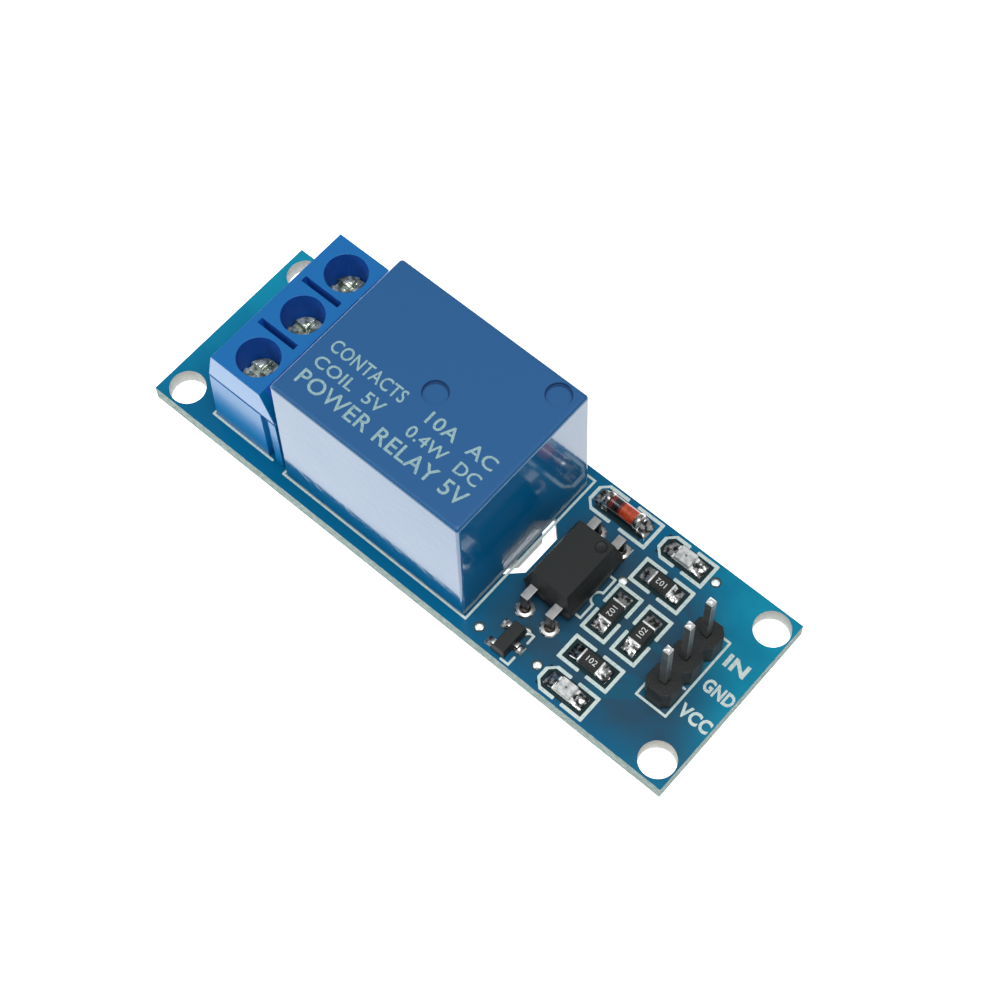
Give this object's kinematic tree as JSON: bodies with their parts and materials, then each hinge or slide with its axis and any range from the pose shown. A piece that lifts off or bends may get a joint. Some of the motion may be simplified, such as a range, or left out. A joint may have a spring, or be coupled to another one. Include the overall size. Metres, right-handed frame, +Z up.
{
  "type": "relay module board",
  "caption": "Narrow circuit board with a sealed power relay, a screw terminal block, an optocoupler input stage and a pin header, for switching a load from a logic signal.",
  "frame": {"origin": "centre of the four fixing holes, on the underside of the board", "axes": "+X runs along the board from the screw terminal to the pin header, +Z is up out of the component side"},
  "size_m": [0.0539, 0.0178, 0.018],
  "materials": {
    "board_mask": "satin solder mask",
    "print": "matt printed ink",
    "solder": "bright tinned solder",
    "terminal_plastic": "moulded, satin gloss",
    "clamp_metal": "tin plated",
    "guard_bronze": "tin plated spring bronze",
    "screw_steel": "nickel plated",
    "relay_plastic": "moulded, fine matt top and glossy sides",
    "base_plastic": "moulded",
    "bobbin_plastic": "moulded",
    "enamelled_copper": "enamelled copper wire",
    "iron": "nickel plated soft iron",
    "contact_metal": "copper alloy strip",
    "pin_metal": "tin plated",
    "dark_plastic": "fine matt moulding compound",
    "diode_glass": "coloured glass",
    "lamp_carrier": "white laminate",
    "lamp_lens": "clear resin",
    "resistor_black": "glazed film on ceramic",
    "chip_plating": "tin plated"
  },
  "bodies": {
    "board": {"circuit_board": "board_mask", "silkscreen": "print", "solder_pads": "solder", "solder_joints": "solder", "terminal_housing": "terminal_plastic", "terminal_clamp_1": "clamp_metal", "terminal_clamp_2": "clamp_metal", "terminal_clamp_3": "clamp_metal", "relay_case": "relay_plastic", "relay_base": "base_plastic", "coil_bobbin": "bobbin_plastic", "coil_winding": "enamelled_copper", "coil_core": "iron", "coil_pins": "pin_metal", "yoke": "iron", "open_contact": "contact_metal", "closed_contact": "contact_metal", "optocoupler_body": "dark_plastic", "optocoupler_lead_1": "pin_metal", "optocoupler_lead_2": "pin_metal", "optocoupler_lead_3": "pin_metal", "optocoupler_lead_4": "pin_metal", "transistor_body": "dark_plastic", "transistor_leads": "pin_metal", "diode_glass": "diode_glass", "diode_cap_1": "chip_plating", "diode_cap_2": "chip_plating", "power_lamp_carrier": "lamp_carrier", "power_lamp_lens": "lamp_lens", "relay_lamp_carrier": "lamp_carrier", "relay_lamp_lens": "lamp_lens", "resistor_1": "resistor_black", "resistor_2": "resistor_black", "resistor_3": "resistor_black", "resistor_4": "resistor_black", "resistor_ends_1": "chip_plating", "resistor_ends_2": "chip_plating", "resistor_ends_3": "chip_plating", "resistor_ends_4": "chip_plating", "header_strip": "dark_plastic", "header_pin_1": "pin_metal", "header_pin_2": "pin_metal", "header_pin_3": "pin_metal"},
    "armature": {"armature": "iron", "contact_blade": "contact_metal", "moving_contact": "contact_metal"},
    "guard_1": {"wire_guard_1": "guard_bronze"},
    "screw_1": {"clamp_screw_1": "screw_steel"},
    "guard_2": {"wire_guard_2": "guard_bronze"},
    "screw_2": {"clamp_screw_2": "screw_steel"},
    "guard_3": {"wire_guard_3": "guard_bronze"},
    "screw_3": {"clamp_screw_3": "screw_steel"}
  },
  "joints": [
    {"name": "armature_rock", "type": "hinge", "parent": "board", "child": "armature", "pos_m": [0.00297, -0.00015, 0.01245], "axis": [0, -1, 0], "range_deg": [0, 2.4], "stiffness_Nm_per_rad": 0.01, "springref_deg": -4.98},
    {"name": "guard_1_travel", "type": "slide", "parent": "board", "child": "guard_1", "axis": [0, 0, 1], "range_m": [-0.0005, 0.0015]},
    {"name": "screw_1_turn", "type": "hinge", "parent": "guard_1", "child": "screw_1", "pos_m": [-0.01778, -0.00466, 0.0072], "axis": [0, 0, 1], "range_deg": [-361, 1081]},
    {"name": "guard_2_travel", "type": "slide", "parent": "board", "child": "guard_2", "axis": [0, 0, 1], "range_m": [-0.0005, 0.0015]},
    {"name": "screw_2_turn", "type": "hinge", "parent": "guard_2", "child": "screw_2", "pos_m": [-0.01778, 0.00042, 0.0072], "axis": [0, 0, 1], "range_deg": [-361, 1081]},
    {"name": "guard_3_travel", "type": "slide", "parent": "board", "child": "guard_3", "axis": [0, 0, 1], "range_m": [-0.0005, 0.0015]},
    {"name": "screw_3_turn", "type": "hinge", "parent": "guard_3", "child": "screw_3", "pos_m": [-0.01778, 0.0055, 0.0072], "axis": [0, 0, 1], "range_deg": [-361, 1081]}
  ],
  "couplings": [
    {"joint": "screw_1_turn", "follows": "guard_1_travel", "rad_per_m": 12566},
    {"joint": "screw_2_turn", "follows": "guard_2_travel", "rad_per_m": 12566},
    {"joint": "screw_3_turn", "follows": "guard_3_travel", "rad_per_m": 12566}
  ]
}
